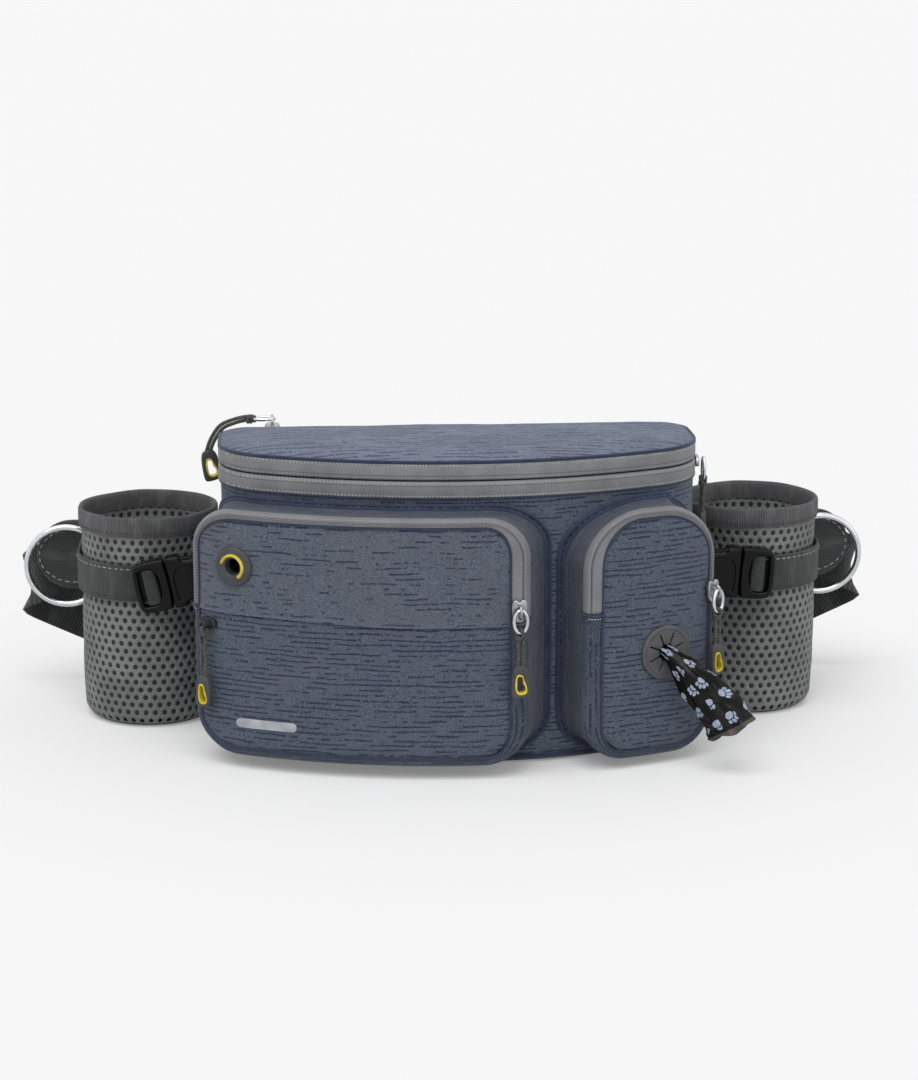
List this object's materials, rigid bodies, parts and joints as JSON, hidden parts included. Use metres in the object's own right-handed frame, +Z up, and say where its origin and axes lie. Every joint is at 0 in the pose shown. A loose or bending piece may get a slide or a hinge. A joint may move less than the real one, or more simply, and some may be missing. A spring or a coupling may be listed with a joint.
{
  "type": "treat pouch",
  "caption": "Waist-worn treat pouch with a zipped top, two zipped front pockets, a waste-bag dispenser, mesh bottle holders, lead rings and a belt.",
  "frame": {"origin": "centre of the flat bottom of the main bag, on the surface it stands on", "axes": "+X across the bag to the wearer's left as seen from the front, +Y towards the wearer, +Z up"},
  "size_m": [0.4834, 0.2105, 0.1685],
  "materials": {
    "blue_fabric": "matt heather polyester with dark broken stripes",
    "grey_zip_tape": "satin coated tape",
    "grey_mesh": "matt knitted air mesh",
    "charcoal_webbing": "ribbed polyester webbing",
    "dark_cord": "braided cord and soft moulded tab",
    "yellow_rubber": "satin",
    "dark_rubber": "satin moulded rubber",
    "black_plastic": "glossy moulded nylon",
    "black_film": "thin glossy film",
    "slider_metal": "gunmetal plated",
    "chrome_ring": "polished",
    "reflective_print": "silver grey reflective print"
  },
  "bodies": {
    "bag": {"main_shell": "blue_fabric", "back_panel": "grey_mesh", "main_zip_tape_lower": "grey_zip_tape", "lid_hinge_strip": "grey_zip_tape", "rear_pocket_gusset": "blue_fabric", "rear_zip_tape": "grey_zip_tape", "left_pocket_gusset": "blue_fabric", "left_pocket_upper_panel": "blue_fabric", "left_pocket_lower_panel": "blue_fabric", "left_pocket_zip_tape": "grey_zip_tape", "headphone_grommet": "dark_rubber", "grommet_accent": "yellow_rubber", "right_pocket_gusset": "blue_fabric", "right_pocket_panel": "blue_fabric", "right_pocket_zip_tape": "grey_zip_tape", "dispenser_port": "dark_rubber", "waste_bag_tail": "black_film", "reflective_mark": "reflective_print", "left_wing": "charcoal_webbing", "right_wing": "charcoal_webbing", "left_holder_mesh": "grey_mesh", "right_holder_mesh": "grey_mesh", "left_holder_rim": "charcoal_webbing", "right_holder_rim": "charcoal_webbing", "left_holder_strap": "charcoal_webbing", "right_holder_strap": "charcoal_webbing", "left_buckle_socket": "black_plastic", "right_buckle_socket": "black_plastic", "left_buckle_anchor": "charcoal_webbing", "right_buckle_anchor": "charcoal_webbing", "left_ring_keeper": "charcoal_webbing", "right_ring_keeper": "charcoal_webbing", "left_belt_webbing": "charcoal_webbing", "right_belt_webbing": "charcoal_webbing", "belt_buckle_socket": "black_plastic"},
    "lid": {"top_panel": "blue_fabric", "main_zip_tape_upper": "grey_zip_tape"},
    "main_slider": {"main_slider": "slider_metal"},
    "main_pull": {"main_pull": "dark_cord", "main_pull_insert": "yellow_rubber"},
    "left_slider": {"left_slider": "slider_metal"},
    "left_pull": {"left_pull": "dark_cord", "left_pull_insert": "yellow_rubber"},
    "right_slider": {"right_slider": "slider_metal"},
    "right_pull": {"right_pull": "dark_cord", "right_pull_insert": "yellow_rubber"},
    "welt_slider": {"welt_slider": "slider_metal"},
    "welt_pull": {"welt_pull": "dark_cord", "welt_pull_insert": "yellow_rubber"},
    "rear_slider": {"rear_slider": "slider_metal"},
    "rear_pull": {"rear_pull": "dark_cord", "rear_pull_insert": "yellow_rubber"},
    "left_ring": {"left_ring": "chrome_ring"},
    "right_ring": {"right_ring": "chrome_ring"},
    "left_buckle_plug": {"left_buckle_plug": "black_plastic", "left_strap_fold": "charcoal_webbing"},
    "right_buckle_plug": {"right_buckle_plug": "black_plastic", "right_strap_fold": "charcoal_webbing"},
    "belt_buckle_plug": {"belt_buckle_plug": "black_plastic"},
    "waste_roll": {"waste_bag_roll": "black_film"}
  },
  "joints": [
    {"name": "lid_hinge", "type": "hinge", "parent": "bag", "child": "lid", "pos_m": [0, 0.048, 0.163], "axis": [-1, 0, 0], "range_deg": [0, 85]},
    {"name": "main_slider_travel", "type": "hinge", "parent": "bag", "child": "main_slider", "pos_m": [0.088, 0.01018, 0.1495], "axis": [0, 0, -1], "range_deg": [0, 20]},
    {"name": "main_pull_swing", "type": "hinge", "parent": "main_slider", "child": "main_pull", "pos_m": [0.1318, 0.01018, 0.1495], "axis": [0, -1, 0], "range_deg": [-3, 90]},
    {"name": "left_slider_travel", "type": "slide", "parent": "bag", "child": "left_slider", "axis": [0, 0, 1], "range_m": [0, 0.026]},
    {"name": "left_pull_swing", "type": "hinge", "parent": "left_slider", "child": "left_pull", "pos_m": [0.02605, -0.07845, 0.09], "axis": [-0.9954, -0.0959, 0], "range_deg": [-3, 90]},
    {"name": "right_slider_travel", "type": "slide", "parent": "bag", "child": "right_slider", "axis": [0, 0, 1], "range_m": [0, 0.012]},
    {"name": "right_pull_swing", "type": "hinge", "parent": "right_slider", "child": "right_pull", "pos_m": [0.13265, -0.04334, 0.09], "axis": [-0.7679, -0.6406, 0], "range_deg": [-3, 90]},
    {"name": "welt_slider_travel", "type": "hinge", "parent": "bag", "child": "welt_slider", "pos_m": [-0.088, 0.01018, 0.077], "axis": [0, 0, 1], "range_deg": [0, 18]},
    {"name": "welt_pull_swing", "type": "hinge", "parent": "welt_slider", "child": "welt_pull", "pos_m": [-0.14005, -0.03573, 0.077], "axis": [-0.6614, 0.75, 0], "range_deg": [-3, 90]},
    {"name": "rear_slider_travel", "type": "slide", "parent": "bag", "child": "rear_slider", "axis": [1, 0, 0], "range_m": [0, 0.19]},
    {"name": "rear_pull_swing", "type": "hinge", "parent": "rear_slider", "child": "rear_pull", "pos_m": [-0.098, 0.05475, 0.1664], "axis": [0, 1, 0], "range_deg": [0, 100]},
    {"name": "left_ring_swing", "type": "hinge", "parent": "bag", "child": "left_ring", "pos_m": [-0.1928, 0.09955, 0.075], "axis": [0, 0, 1], "range_deg": [0, 50]},
    {"name": "right_ring_swing", "type": "hinge", "parent": "bag", "child": "right_ring", "pos_m": [0.1928, 0.09955, 0.075], "axis": [0, 0, -1], "range_deg": [0, 50]},
    {"name": "left_buckle_release", "type": "slide", "parent": "bag", "child": "left_buckle_plug", "axis": [-0.9781, 0, -0.2079], "range_m": [0, 0.02]},
    {"name": "right_buckle_release", "type": "slide", "parent": "bag", "child": "right_buckle_plug", "axis": [0.9976, 0, -0.0698], "range_m": [0, 0.02]},
    {"name": "belt_buckle_release", "type": "slide", "parent": "bag", "child": "belt_buckle_plug", "axis": [1, 0, 0], "range_m": [0, 0.02]},
    {"name": "waste_roll_spin", "type": "hinge", "parent": "bag", "child": "waste_roll", "pos_m": [0.09899, -0.04104, 0.035], "axis": [0, 0, 1], "continuous": true}
  ]
}
